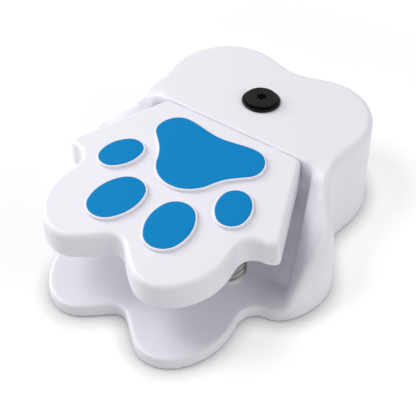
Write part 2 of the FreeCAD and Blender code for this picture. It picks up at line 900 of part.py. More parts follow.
def poppet_seal():
    return tube_y(poppet_radius, stem_neck_radius, poppet_front, poppet_back)


# Riser and nozzle, on the axis square to the sloping top

def riser_low():
    """Foot of the riser hose along the nozzle's axis, clear of the valve body."""
    return valve_z + body_radius + 0.6 - nozzle_base


def riser_high():
    return -nozzle_shank_length


def riser_tube():
    bore = barb_radius + riser_fit
    tube = cylinder(bore + riser_wall, riser_low(), riser_high())
    return on_top(tube.cut(cylinder(bore, riser_low() - 1, riser_high() + 1)))


def riser_clips():
    outside = barb_radius + riser_fit + riser_wall
    clips = []
    for middle in (riser_low() + stub_length / 2, riser_high() - barb_length / 2):
        low = middle - band_width / 2
        band = cylinder(outside + band_thickness, low, low + band_width)
        lug = block(outside, outside + band_lug, -band_thickness, band_thickness, low, low + band_width)
        band = band.fuse(lug).cut(cylinder(outside, low - 1, low + band_width + 1))
        clips.append(on_top(band.removeSplitter()))
    return Part.makeCompound(clips)


def nozzle_gasket():
    disc = cylinder(gasket_radius, 0, gasket_thickness)
    return on_top(disc.cut(cylinder(nozzle_shank_radius + thread_gap, -1, gasket_thickness + 1)))


def nozzle_ring():
    top = gasket_thickness + nozzle_flange
    flange = cylinder(nozzle_radius, gasket_thickness, top)
    flange = flange.makeChamfer(nozzle_bevel, [e for e in flange.Edges if e.BoundBox.ZMin > top - 0.01])
    shank = cylinder(nozzle_shank_radius, -nozzle_shank_length, top - nozzle_flange / 2)
    barb = cylinder(barb_radius, -nozzle_shank_length - barb_length, 0)
    body = flange.fuse([shank, barb]).removeSplitter()
    body = body.cut(cylinder(nozzle_bore, -2 * casing_top, 2 * top))
    socket_floor = top + cap_gap - cap_stem_length - cap_gap
    return on_top(body.cut(cylinder(cap_stem_radius + cap_stem_gap, socket_floor, 2 * top)))


def nozzle_nut():
    high = -casing_wall * cos(radians(casing_slope))
    corners = [V(0, 0, high) + heading(60 * k) * nozzle_nut_radius for k in range(7)]
    nut = Part.Face(Part.makePolygon(corners)).extrude(V(0, 0, -nozzle_nut_thickness))
    return on_top(nut.cut(cylinder(nozzle_shank_radius + thread_gap, high - 2 * nozzle_nut_thickness, 0)))


def cap_ring():
    """Sealing ring round the cap's stem, on the Z axis."""
    height = gasket_thickness + nozzle_flange + cap_gap - cap_stem_length / 2
    radius = cap_stem_radius + cap_stem_gap - cap_ring_wire
    return ring(radius, cap_ring_wire, V(0, 0, height), Z_AXIS)


def nozzle_cap():
    low = gasket_thickness + nozzle_flange + cap_gap
    high = low + cap_height
    disc = cylinder(cap_radius, low, high)
    disc = disc.makeChamfer(cap_bevel, [e for e in disc.Edges if e.BoundBox.ZMin > high - 0.01])
    body = disc.fuse(cylinder(cap_stem_radius, low - cap_stem_length, low + cap_height / 2)).removeSplitter()
    star = [cylinder(star_core_radius, high - star_depth, high + 1)]
    for k in range(star_lobes):
        at = heading(360 * k / star_lobes) * star_lobe_place
        star.append(cylinder(star_lobe_radius, high - star_depth, high + 1, at.x, at.y))
    jet = cylinder(jet_radius, low - 2 * cap_stem_length, high + 1)
    return on_top(body.cut(fuse_all(star)).cut(jet).cut(cap_ring()))


def nozzle_oring():
    return on_top(cap_ring())


# Hose inlet

def hose_inlet():
    tube = cylinder_y(inlet_radius, body_back, inlet_end)
    shank = cylinder_y(inlet_chamber_radius - thread_gap, inlet_front, body_back + 1)
    flange = cylinder_y(inlet_flange_radius, inlet_boss_front - inlet_flange_thickness, inlet_boss_front)
    body = tube.fuse([shank, flange]).removeSplitter()
    body = body.cut(cylinder_y(inlet_throat, inlet_front - 1, inlet_end + 1))
    body = body.cut(cylinder_y(inlet_bore, inlet_front + inlet_throat_length, inlet_end + 1))
    groove_floor = inlet_radius - ring_groove_depth
    return body.cut(tube_y(inlet_radius + 1, groove_floor, ring_front, ring_front + ring_thickness))


def inlet_lock_nut():
    nut = hexagon_y(lock_nut_radius, inlet_boss_back, inlet_boss_back + lock_nut_thickness)
    return nut.cut(cylinder_y(inlet_radius + thread_gap, inlet_boss_back - 1, inlet_end))


def retaining_ring():
    inside = inlet_radius - ring_groove_depth
    split = tube_y(ring_outer_radius, inside, ring_front, ring_front + ring_thickness)
    return split.cut(block(-ring_opening / 2, ring_opening / 2, ring_front - 1, inlet_end, 0, valve_z))


def swivel_nut():
    nut = cylinder_y(swivel_radius, swivel_front, swivel_back)
    nut = nut.makeChamfer(swivel_lip / 4, nut.Edges[:1] + nut.Edges[2:])
    for k in range(swivel_grips):
        at = heading(360 * k / swivel_grips) * (swivel_radius + swivel_grip_radius / 2)
        nut = nut.cut(cylinder_y(swivel_grip_radius, swivel_front - 1, swivel_back + 1, at.x, valve_z + at.y))
    nut = nut.cut(cylinder_y(inlet_radius + stem_gap, swivel_front - 1, swivel_back + 1))
    nut = nut.cut(cylinder_y(swivel_relief, swivel_front + swivel_lip, thread_front))
    return nut.cut(cylinder_y(swivel_bore, thread_front, swivel_back + 1))


def hose_washer():
    return tube_y(washer_radius, inlet_bore, inlet_end, washer_back)


def filter_screen():
    disc = cylinder_y(washer_radius, washer_back, washer_back + screen_thickness)
    count = int(screen_field / screen_pitch)
    for i in range(-count, count + 1):
        for j in range(-count, count + 1):
            if hypot(i, j) * screen_pitch <= screen_field:
                x, z = i * screen_pitch, valve_z + j * screen_pitch
                disc = disc.cut(cylinder_y(screen_hole_radius, washer_back - 1, washer_back + 2, x, z))
    return disc


os.makedirs("parts", exist_ok=True)
pieces = {
    "housing": housing(), "bottom_cover": bottom_cover(), "cover_screws": cover_screws(),
    "rubber_feet": rubber_feet(), "pedal": pedal(), "hinge_rod": hinge_rod(), "hinge_clips": hinge_clips(),
    "valve_body": valve_body(), "gland_nut": gland_nut(), "stem_oring": stem_oring(),
    "valve_stem": valve_stem(), "stem_button": stem_button(), "poppet_seal": poppet_seal(),
    "valve_screws": valve_screws(), "riser_tube": riser_tube(), "riser_clips": riser_clips(),
    "nozzle_gasket": nozzle_gasket(), "nozzle_ring": nozzle_ring(), "nozzle_nut": nozzle_nut(),
    "nozzle_cap": nozzle_cap(), "nozzle_oring": nozzle_oring(), "hose_inlet": hose_inlet(),
    "inlet_lock_nut": inlet_lock_nut(), "retaining_ring": retaining_ring(), "swivel_nut": swivel_nut(),
    "hose_washer": hose_washer(), "filter_screen": filter_screen(),
}
for name, nodes in pad_outlines().items():
    pieces[name] = pad(nodes)
spring = pedal_spring()
pieces["pedal_spring_right"] = spring
pieces["pedal_spring_left"] = spring.mirror(V(0, 0, 0), X_AXIS)
for name, shape in pieces.items():
    save(name, shape)
print("stem stroke", round(stem_stroke, 3), "mm for", pedal_travel, "degrees")
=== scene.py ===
import json
from math import radians

import bmesh
import bpy
from bpy.props import FloatProperty, FloatVectorProperty, IntProperty, PointerProperty
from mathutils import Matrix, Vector


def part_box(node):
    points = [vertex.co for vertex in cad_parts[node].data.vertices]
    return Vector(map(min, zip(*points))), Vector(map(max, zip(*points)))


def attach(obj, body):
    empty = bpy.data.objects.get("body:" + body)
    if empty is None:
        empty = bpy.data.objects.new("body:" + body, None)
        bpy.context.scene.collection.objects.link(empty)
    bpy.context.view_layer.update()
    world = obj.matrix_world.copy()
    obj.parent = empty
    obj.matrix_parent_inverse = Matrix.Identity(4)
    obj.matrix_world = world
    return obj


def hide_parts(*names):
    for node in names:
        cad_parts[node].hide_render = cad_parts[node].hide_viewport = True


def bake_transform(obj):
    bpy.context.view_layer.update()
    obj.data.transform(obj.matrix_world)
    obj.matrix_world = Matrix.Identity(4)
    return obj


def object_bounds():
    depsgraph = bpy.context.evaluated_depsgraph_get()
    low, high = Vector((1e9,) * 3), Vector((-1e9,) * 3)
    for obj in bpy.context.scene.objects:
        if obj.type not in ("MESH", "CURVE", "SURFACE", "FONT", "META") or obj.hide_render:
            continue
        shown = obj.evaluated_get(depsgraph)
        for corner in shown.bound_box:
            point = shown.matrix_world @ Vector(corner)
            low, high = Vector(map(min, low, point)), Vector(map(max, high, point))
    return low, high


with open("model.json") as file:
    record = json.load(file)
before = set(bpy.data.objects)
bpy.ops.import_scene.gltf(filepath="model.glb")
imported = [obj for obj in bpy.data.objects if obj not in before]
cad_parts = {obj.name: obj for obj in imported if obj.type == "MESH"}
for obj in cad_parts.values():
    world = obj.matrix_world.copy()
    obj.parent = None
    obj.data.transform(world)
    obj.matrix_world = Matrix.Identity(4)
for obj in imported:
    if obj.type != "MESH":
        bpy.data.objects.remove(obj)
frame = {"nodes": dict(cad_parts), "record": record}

bl_info = {
    "name": "Step-on Dog Fountain",
    "version": (1, 0, 0),
    "blender": (4, 5, 0),
    "location": "3D View > Sidebar > Fountain",
    "description": "Finishes the pieces of a step-on drinking fountain for dogs and lights them",
    "category": "Object",
}

MM = 0.001
NODES = frame["nodes"]
CAD_LOW, CAD_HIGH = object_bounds()


def colour(name, description, default):
    """A colour that the panel shows."""
    return FloatVectorProperty(
        name=name, description=description, default=default, subtype="COLOR", size=3, min=0, max=1)


def length(name, description, default):
    """A small length, in metres, that the panel shows."""
    return FloatProperty(
        name=name, description=description, default=default, min=0, precision=5, unit="LENGTH")


def power(name, description, default):
    """A lamp's power, in watts, that the panel shows."""
    return FloatProperty(name=name, description=description, default=default, min=0, unit="POWER")


def amount(name, description, default):
    """A share from 0 to 1 that the panel shows."""
    return FloatProperty(name=name, description=description, default=default, min=0, max=1)


# Sizes and colours

class ShellLooks(bpy.types.PropertyGroup):
    white: colour("White", "Colour of the moulded casing and pedal", (0.80, 0.79, 0.85))
    roughness: amount("Roughness", "Roughness of the moulded plastic", 0.42)
    grain_size: length("Grain size", "Size of the mould's fine grain", 0.45 * MM)
    grain_depth: length("Grain depth", "Depth of the mould's fine grain", 0.004 * MM)
    mesh_step: length("Mesh step", "Size of the faces of the softened casing", 1.3 * MM)
    edge_lift: length("Edge lift", "How far the wings' inner edges are drawn up", 8.5 * MM)
    edge_reach: length("Edge reach", "How far around an inner edge the skin follows", 19.0 * MM)
    softening: IntProperty(
        name="Softening", description="Rounds of smoothing on the wings' crests", default=80, min=0)


class PadLooks(bpy.types.PropertyGroup):
    blue: colour("Blue", "Colour of the paw's rubber pads", (0.004, 0.225, 0.540))
    roughness: amount("Roughness", "Roughness of the rubber", 0.62)
    rim: length("Rim", "Width of the rounded rim of a pad", 0.5 * MM)
    crown: length("Crown", "Height of a pad's middle above its rim", 0.35 * MM)
    grain_size: length("Grain size", "Size of the rubber's grain", 0.35 * MM)


class MetalLooks(bpy.types.PropertyGroup):
    wire: colour("Spring wire", "Colour of the drawn spring wire", (0.36, 0.34, 0.31))
    stainless: colour("Stainless", "Colour of screws, rod, clips and bands", (0.56, 0.56, 0.57))
    brass: colour("Brass", "Colour of the valve and the inlet", (0.72, 0.50, 0.22))


class DarkLooks(bpy.types.PropertyGroup):
    nozzle: colour("Nozzle", "Colour of the nozzle and its cap", (0.005, 0.005, 0.006))
    nylon: colour("Nylon", "Colour of the nuts and the push button", (0.030, 0.030, 0.033))
    rubber: colour("Rubber", "Colour of seals and washers", (0.018, 0.018, 0.018))
    foot: colour("Foot", "Colour of the rubber feet", (0.10, 0.10, 0.105))
    hose: colour("Riser hose", "Colour of the hose inside the casing", (0.30, 0.30, 0.31))


class ThreadSizes(bpy.types.PropertyGroup):
    pitch: length("Pitch", "Pitch of the hose thread", 2.2 * MM)
    depth: length("Depth", "Height of the thread above the nut's bore", 0.75 * MM)
    steps: IntProperty(name="Steps", description="Steps in one turn of the thread", default=48, min=12)


class StageSettings(bpy.types.PropertyGroup):
    lens: FloatProperty(name="Lens", description="Focal length of the camera", default=0.07356,
                        precision=5, unit="CAMERA")
    camera_at: FloatVectorProperty(name="Camera", description="Place of the camera", size=3,
                                   default=(0.2177, -0.3690, 0.4100), subtype="TRANSLATION")
    camera_turn: FloatVectorProperty(name="Turn", description="Turn of the camera", size=3,
                                     default=(radians(44.02), 0.0, radians(35.25)), subtype="EULER")
    left_power: power("Left light", "Power of the soft lamp on the left", 8.3)
    top_power: power("Top light", "Power of the soft lamp overhead", 3.9)
    right_power: power("Right light", "Power of the faint lamp on the right", 3.6)
    sky: amount("Sky", "Strength of the even light from all around", 0.42)
    floor: colour("Floor", "Colour of the floor", (0.82, 0.82, 0.83))
    floor_lift: amount("Floor lift", "Extra light that the camera sees in the floor beside the object", 0.4)
    floor_glow: amount("Floor glow", "Light that the floor gives to the object", 0.2)
    # Painted shade: ambient occlusion darkens the floor's colour, and the lift that the camera sees in it,
    # in a seam where the object meets the floor
    contact: length("Contact", "Reach of the dark seam where the object meets the floor", 0.012)
    contact_depth: FloatProperty(name="Contact depth", description="How fast that seam turns dark",
                                 default=0.6, min=0, max=10)
    fade_from: length("Fade from", "Distance at which the floor starts to turn white", 0.18)
    fade_to: length("Fade to", "Distance at which the floor is white", 0.60)


# Places on the casing's right side, in millimetres, which the left side mirrors: the upper and the
# lower end of the wing's inner edge, and the top corner of the pedal's bay
INNER_EDGE = ((65.0, -55.0, 43.0), (74.5, -83.0, 18.0))
BAY_CORNER = Vector((58.5, -33.5, 68.0))

# Lifting of the inner edge: the band of faces along it that is drawn, and its way outwards, along Y and up
EDGE_BAND = 2.5 * MM
LIFT_WAY = (0.29, -0.59, 0.75)

# Softening of a wing, in metres: each border, and how far inside it the softening is in full
INNER_BORDER, INNER_FADE = 0.066, 0.008
REAR_BORDER, REAR_FADE = -0.002, 0.012
FRONT_BORDER, FRONT_FADE = -0.108, 0.060
LOWER_BORDER, LOWER_FADE = 0.018, 0.010

# Softening round the bay's corner: it starts some steps away, and each step nearer adds a share
CORNER_SHARE = 0.6
CORNER_STEP = 5 * MM
CORNER_STEPS = 1.6

# Rings of a pad from its rim inwards: how far each is set in, in rims, and how much it rises, in crowns
PAD_RINGS = ((0.25, 0.45), (0.40, 0.25), (1.0, 0.18), (4.0, 0.09), (6.0, 0.03))

# Points of a pad that lie closer than this are joined: in its outline first, and all over it at the end
OUTLINE_STEP = 0.6 * MM
PAD_STEP = 0.05 * MM

# Faces this close to a pad's underside belong to it
UNDERSIDE = 0.01 * MM

# Turns of the hose thread that are left out at each end of the nut
THREAD_LEAD = 0.6

# How far roughness wanders to both sides of its mean, and how dark the stains on metal are
MOULDED_SPREAD = (-0.05, 0.05)
METAL_SPREAD = (-0.06, 0.08)
METAL_STAIN = 0.82

# The colour sockets of a Mix node: both inputs and the output share their names with other sockets
MIX_A, MIX_B, MIX_OUT = 6, 7, 2

# Width of the camera's sensor that the lens is stated for, in millimetres
SENSOR_WIDTH = 36

# Width of the floor, and each lamp's width and place, in metres
FLOOR_WIDTH = 4.0
LAMPS = {
    "Left light": (0.70, (-1.05, -0.20, 0.62)),
    "Top light": (0.45, (-0.45, -0.45, 1.05)),
    "Right light": (0.80, (1.00, 0.10, 0.70)),
}


# Helpers for meshes

def deselect():
    if bpy.context.object and bpy.context.object.mode != "OBJECT":
        bpy.ops.object.mode_set(mode="OBJECT")
    bpy.ops.object.select_all(action="DESELECT")


def make_active(piece):
    deselect()
    piece.select_set(True)
    bpy.context.view_layer.objects.active = piece


def merged_copy(node, name):
    """A copy of a node's mesh under a new name, with its loose triangles joined.

    It is left in edit mode with nothing selected."""
    piece = bpy.data.objects.new(name, NODES[node].data.copy())
    bpy.context.scene.collection.objects.link(piece)
    piece.data.name = name
    piece.data.materials.clear()
    make_active(piece)
    bpy.ops.mesh.customdata_custom_splitnormals_clear()
    bpy.ops.object.mode_set(mode="EDIT")
    bpy.ops.mesh.select_all(action="SELECT")
    bpy.ops.mesh.remove_doubles(threshold=0.002 * MM)
    bpy.ops.mesh.select_all(action="DESELECT")
    return piece


def select_faces(piece, wanted):
    """In edit mode, selects the faces for which wanted(face) holds."""
    bpy.ops.mesh.select_mode(type="FACE")
    mesh = bmesh.from_edit_mesh(piece.data)
    for face in mesh.faces:
        face.select_set(bool(wanted(face)))
    bmesh.update_edit_mesh(piece.data)


def off_line(point, start, end):
    """Distance from a point to the line between two points."""
    along = (point - start).dot(end - start) / (end - start).length_squared
    return (point - start.lerp(end, max(0.0, min(1.0, along)))).length


def shaded(piece, angle):
    """Smooth shading between faces that meet at less than an angle, in degrees."""
    make_active(piece)
    bpy.ops.object.shade_smooth_by_angle(angle=radians(angle))


def settled(piece):
    """Moves a piece's place into its mesh."""
    make_active(piece)
    bpy.ops.object.transform_apply(location=True, rotation=True, scale=True)


# Shared effects

def effect(name, inputs, outputs):
    """An empty node group with named sockets: its tree, its input node and its output node."""
    tree = bpy.data.node_groups.new(name, "ShaderNodeTree")
    for socket, kind, default in inputs:
        made = tree.interface.new_socket(name=socket, in_out="INPUT", socket_type=kind)
        made.default_value = default
    for socket, kind in outputs:
        tree.interface.new_socket(name=socket, in_out="OUTPUT", socket_type=kind)
    return tree, tree.nodes.new("NodeGroupInput"), tree.nodes.new("NodeGroupOutput")


def add_node(tree, kind, **values):
    """A node with its settings and the values of its free sockets, given by name."""
    node = tree.nodes.new(kind)
    for name, value in values.items():
        if hasattr(node, name):
            setattr(node, name, value)
        else:
            node.inputs[name.replace("_", " ")].default_value = value
    return node


def reciprocal(tree, socket):
    """One over a length, as the scale of a pattern."""
    divide = add_node(tree, "ShaderNodeMath", operation="DIVIDE")
    divide.inputs[0].default_value = 1.0
    tree.links.new(socket, divide.inputs[1])
    return divide.outputs[0]


def moulded_grain():
    """Fine grain of a moulded surface, with a slow unevenness below it."""
    tree, given, result = effect(
        "Moulded grain", [("Size", "NodeSocketFloat", 0.0005)],
        [("Height", "NodeSocketFloat"), ("Tone", "NodeSocketFloat")])
    place = add_node(tree, "ShaderNodeTexCoord")
    fine = add_node(tree, "ShaderNodeTexNoise", Detail=2.0)
    broad = add_node(tree, "ShaderNodeTexNoise", Scale=22.0, Detail=3.0)
    tree.links.new(place.outputs["Object"], fine.inputs["Vector"])
    tree.links.new(place.outputs["Object"], broad.inputs["Vector"])
    tree.links.new(reciprocal(tree, given.outputs["Size"]), fine.inputs["Scale"])
    tree.links.new(fine.outputs["Fac"], result.inputs["Height"])
    tree.links.new(broad.outputs["Fac"], result.inputs["Tone"])
    return tree


def drawn_lines():
    """Fine lines that run round a turned or drawn piece along one axis."""
    tree, given, result = effect(
        "Drawn lines",
        [("Stretch", "NodeSocketVector", (1.0, 1.0, 1.0)), ("Size", "NodeSocketFloat", 0.0003)],
        [("Height", "NodeSocketFloat"), ("Tone", "NodeSocketFloat")])
    place = add_node(tree, "ShaderNodeTexCoord")
    squeeze = add_node(tree, "ShaderNodeVectorMath", operation="MULTIPLY")
    lines = add_node(tree, "ShaderNodeTexNoise", Detail=3.0)
    stain = add_node(tree, "ShaderNodeTexNoise", Scale=120.0, Detail=4.0)
    tree.links.new(place.outputs["Object"], squeeze.inputs[0])
    tree.links.new(given.outputs["Stretch"], squeeze.inputs[1])
    tree.links.new(squeeze.outputs[0], lines.inputs["Vector"])
    tree.links.new(place.outputs["Object"], stain.inputs["Vector"])
    tree.links.new(reciprocal(tree, given.outputs["Size"]), lines.inputs["Scale"])
    tree.links.new(lines.outputs["Fac"], result.inputs["Height"])
    tree.links.new(stain.outputs["Fac"], result.inputs["Tone"])
    return tree


def shared(build):
    """The node group that a builder makes, made only once."""
    name = build.__name__.replace("_", " ").capitalize()
    return bpy.data.node_groups.get(name) or build()


# Materials

def new_material(name):
    """A material with nodes: the material, its tree and its Principled shader."""
    made = bpy.data.materials.new(name)
    made.use_nodes = True
    return made, made.node_tree, made.node_tree.nodes["Principled BSDF"]


def place_effect(tree, build, **values):
    """Puts a shared effect into a material with its own values."""
    node = tree.nodes.new("ShaderNodeGroup")
    node.node_tree = shared(build)
    for name, value in values.items():
        node.inputs[name].default_value = value
    return node


def add_bump(tree, shader, height, distance):
    bump = add_node(tree, "ShaderNodeBump", Distance=distance)
    tree.links.new(height, bump.inputs["Height"])
    tree.links.new(bump.outputs["Normal"], shader.inputs["Normal"])


def two_tones(tree, share, dark, light, target):
    """Colour that wanders between two tones with a share from 0 to 1."""
    mix = add_node(tree, "ShaderNodeMix", data_type="RGBA")
    mix.inputs[MIX_A].default_value = (*dark, 1)
    mix.inputs[MIX_B].default_value = (*light, 1)
    tree.links.new(share, mix.inputs["Factor"])
    tree.links.new(mix.outputs[MIX_OUT], target)


def uneven_gloss(tree, share, roughness, spread, shader):
    """Roughness that wanders around its mean with a share from 0 to 1."""
    low, high = (roughness + part for part in spread)
    ramp = add_node(tree, "ShaderNodeMapRange", To_Min=low, To_Max=high)
    tree.links.new(share, ramp.inputs["Value"])
    tree.links.new(ramp.outputs["Result"], shader.inputs["Roughness"])


def dimmed(tone, share):
    """A darker tone of the same colour."""
    return tuple(part * share for part in tone)


def moulded(name, tone, roughness, grain_size, grain_depth, unevenness, shine=0.5):
    """Moulded plastic or rubber: fine grain, a little uneven in tone and gloss."""
    made, tree, shader = new_material(name)
    shader.inputs["Specular IOR Level"].default_value = shine
    grain = place_effect(tree, moulded_grain, Size=grain_size)
    two_tones(tree, grain.outputs["Tone"], dimmed(tone, 1 - unevenness), tone, shader.inputs["Base Color"])
    uneven_gloss(tree, grain.outputs["Tone"], roughness, MOULDED_SPREAD, shader)
    add_bump(tree, shader, grain.outputs["Height"], grain_depth)
    return made


def metal(name, tone, roughness, stretch, line_size, line_depth):
    """Drawn, turned or brushed metal."""
    made, tree, shader = new_material(name)
    lines = place_effect(tree, drawn_lines, Stretch=stretch, Size=line_size)
    two_tones(tree, lines.outputs["Tone"], dimmed(tone, METAL_STAIN), tone, shader.inputs["Base Color"])
    uneven_gloss(tree, lines.outputs["Tone"], roughness, METAL_SPREAD, shader)
    add_bump(tree, shader, lines.outputs["Height"], line_depth)
    shader.inputs["Metallic"].default_value = 1.0
    return made


def finish_nodes(nodes, made):
    """Gives the nodes one material in all their slots."""
    for node in nodes:
        piece = NODES[node]
        if not piece.data.materials:
            piece.data.materials.append(made)
        for place in piece.material_slots:
            place.material = made


# Pieces

class FOUNTAIN_OT_casing(bpy.types.Operator):
    """Model the casing with soft wings, and finish it, its cover and the pedal in white plastic"""
    bl_idname = "fountain.casing"
    bl_label = "Casing and Pedal"

    def execute(self, context):
        looks = context.scene.fountain_shell
        white = moulded("Satin white plastic", looks.white, looks.roughness,
                        looks.grain_size, looks.grain_depth, unevenness=0.015)
        finish_nodes(("housing", "bottom_cover", "pedal"), white)
        casing = self.softened(looks)
        casing.data.materials.append(white)
        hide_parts("housing")
        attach(casing, "base")
        return {"FINISHED"}

    def softened(self, looks):
        """The casing with the crests and scoops of its wings blended into the top, as moulded."""
        casing = merged_copy("housing", "casing_shell")
        bpy.ops.object.mode_set(mode="OBJECT")
        even = casing.modifiers.new("Even faces", "REMESH")
        even.mode = "VOXEL"
        even.voxel_size = looks.mesh_step
        bpy.ops.object.modifier_apply(modifier=even.name)
        self.lift_edges(casing, looks)
        wings = casing.vertex_groups.new(name="Wings")
        for point in casing.data.vertices:
            weight = self.on_wing(point.co)
            if weight > 0:
                wings.add([point.index], weight, "REPLACE")
        soft = casing.modifiers.new("Soft crests", "SMOOTH")
        soft.vertex_group = wings.name
        soft.factor = 0.5
        soft.iterations = looks.softening
        bpy.ops.object.modifier_apply(modifier=soft.name)
        shaded(casing, angle=60)
        return casing

    def lift_edges(self, casing, looks):
        """Draws the inner edge of each wing up and outwards, so that its scoop lies flatter."""
        outwards, along, up = (share * looks.edge_lift for share in LIFT_WAY)
        make_active(casing)
        bpy.ops.object.mode_set(mode="EDIT")
        for side in (1, -1):
            upper, lower = (Vector((side * at[0], at[1], at[2])) * MM for at in INNER_EDGE)
            select_faces(casing, lambda face: off_line(face.calc_center_median(), upper, lower) < EDGE_BAND)
            bpy.ops.transform.translate(
                value=(side * outwards, along, up),
                use_proportional_edit=True, proportional_edit_falloff="SMOOTH",
                proportional_size=looks.edge_reach)
        bpy.ops.object.mode_set(mode="OBJECT")

    def on_wing(self, at):
        """1 on a wing's crest and scoop, 0 away from them, with soft borders."""
        across = (abs(at.x) - INNER_BORDER) / INNER_FADE
        along = min((REAR_BORDER - at.y) / REAR_FADE, (at.y - FRONT_BORDER) / FRONT_FADE)
        up = (at.z - LOWER_BORDER) / LOWER_FADE
        corner = Vector((abs(at.x), at.y, at.z)) - BAY_CORNER * MM
        near = CORNER_SHARE * (CORNER_STEPS - corner.length / CORNER_STEP)
        return max(0.0, min(1.0, max(min(across, along, up), near)))


class FOUNTAIN_OT_pads(bpy.types.Operator):
    """Model the paw's pads with a rounded rim and a low crown"""
    bl_idname = "fountain.pads"
    bl_label = "Paw Pads"

    def execute(self, context):
        looks = context.scene.fountain_pads
        blue = moulded("Blue pad rubber", looks.blue, looks.roughness,
                       looks.grain_size, grain_depth=0.006 * MM, unevenness=0.05, shine=0.06)
        nodes = [name for name in NODES if name == "main_pad" or name.startswith("toe_pad")]
        for node in sorted(nodes):
            pad = self.crowned(node, looks)
            pad.data.materials.append(blue)
            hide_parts(node)
            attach(pad, "pedal_unit")
        finish_nodes(nodes, blue)
        return {"FINISHED"}

    def crowned(self, node, looks):
        """A pad raised from its outline, drawn in step by step over the rim to a low crown."""
        pad = merged_copy(node, node.replace("pad", "pad_crowned"))
        low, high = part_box(node)
        select_faces(pad, lambda face: face.calc_center_median().z > low.z + UNDERSIDE)
        bpy.ops.mesh.delete(type="FACE")
        bpy.ops.mesh.select_all(action="SELECT")
        bpy.ops.mesh.dissolve_faces()
        bpy.ops.mesh.remove_doubles(threshold=OUTLINE_STEP)
        bpy.ops.mesh.normals_make_consistent(inside=False)
        select_faces(pad, lambda face: True)
        rise = high.z - low.z - looks.crown
        bpy.ops.mesh.extrude_region_move(TRANSFORM_OT_translate={"value": (0, 0, rise)})
        for width, share in PAD_RINGS:
            bpy.ops.mesh.inset(thickness=width * looks.rim)
            bpy.ops.transform.translate(value=(0, 0, share * looks.crown))
        bpy.ops.mesh.select_all(action="SELECT")
        bpy.ops.mesh.remove_doubles(threshold=PAD_STEP)
        bpy.ops.mesh.normals_make_consistent(inside=False)
        bpy.ops.object.mode_set(mode="OBJECT")
        shaded(pad, angle=50)
        return pad


class FOUNTAIN_OT_nozzle(bpy.types.Operator):
    """Finish the nozzle and its cap in satin black plastic, and two nuts and the stem's button in nylon"""
    bl_idname = "fountain.nozzle"
    bl_label = "Jet Nozzle"

    def execute(self, context):
        looks = context.scene.fountain_dark
        black = moulded("Satin black plastic", looks.nozzle, roughness=0.40, grain_size=0.4 * MM,
                        grain_depth=0.003 * MM, unevenness=0.15, shine=0.10)
        nylon = moulded("Black nylon", looks.nylon, roughness=0.50, grain_size=0.35 * MM,
                        grain_depth=0.006 * MM, unevenness=0.15, shine=0.35)
        finish_nodes(("nozzle_ring", "nozzle_cap"), black)
        finish_nodes(("nozzle_nut", "stem_button", "swivel_nut"), nylon)
        return {"FINISHED"}


class FOUNTAIN_OT_springs(bpy.types.Operator):
    """Model the two return springs as they stand, and finish them in drawn spring wire"""
    bl_idname = "fountain.springs"
    bl_label = "Return Springs"

    def execute(self, context):
        looks = context.scene.fountain_metal
        wire = metal("Drawn spring wire", looks.wire, roughness=0.26, stretch=(1, 1, 4),
                     line_size=0.5 * MM, line_depth=0.01 * MM)
        for side in ("left", "right"):
            node = "pedal_spring_" + side
            coil = merged_copy(node, "return_coil_" + side)
            shaded(coil, angle=60)
            coil.data.materials.append(wire)
            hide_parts(node)
            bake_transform(coil)
        finish_nodes(("pedal_spring_left", "pedal_spring_right"), wire)
        return {"FINISHED"}


class FOUNTAIN_OT_valve(bpy.types.Operator):
    """Finish the valve, the riser and all fasteners and seals"""
    bl_idname = "fountain.valve"
    bl_label = "Valve and Fasteners"

    def execute(self, context):
        metals, darks = context.scene.fountain_metal, context.scene.fountain_dark
        brass = metal("Turned brass", metals.brass, roughness=0.30, stretch=(0.05, 1, 0.05),
                      line_size=0.3 * MM, line_depth=0.01 * MM)
        steel = metal("Stainless steel", metals.stainless, roughness=0.28, stretch=(0.1, 0.1, 1),
                      line_size=0.3 * MM, line_depth=0.008 * MM)
        seal = moulded("Seal rubber", darks.rubber, roughness=0.70, grain_size=0.3 * MM,
                       grain_depth=0.01 * MM, unevenness=0.2)
        foot = moulded("Foot rubber", darks.foot, roughness=0.75, grain_size=0.5 * MM,
                       grain_depth=0.02 * MM, unevenness=0.15)
        hose = moulded("Riser hose rubber", darks.hose, roughness=0.55, grain_size=0.6 * MM,
                       grain_depth=0.01 * MM, unevenness=0.1)
        finish_nodes(("valve_body", "gland_nut", "hose_inlet", "inlet_lock_nut"), brass)
        finish_nodes(("cover_screws", "valve_screws", "hinge_rod", "hinge_clips", "valve_stem",
                      "riser_clips", "retaining_ring", "filter_screen"), steel)
        finish_nodes(("stem_oring", "poppet_seal", "nozzle_gasket", "nozzle_oring", "hose_washer"), seal)
        finish_nodes(("rubber_feet",), foot)
        finish_nodes(("riser_tube",), hose)
        return {"FINISHED"}


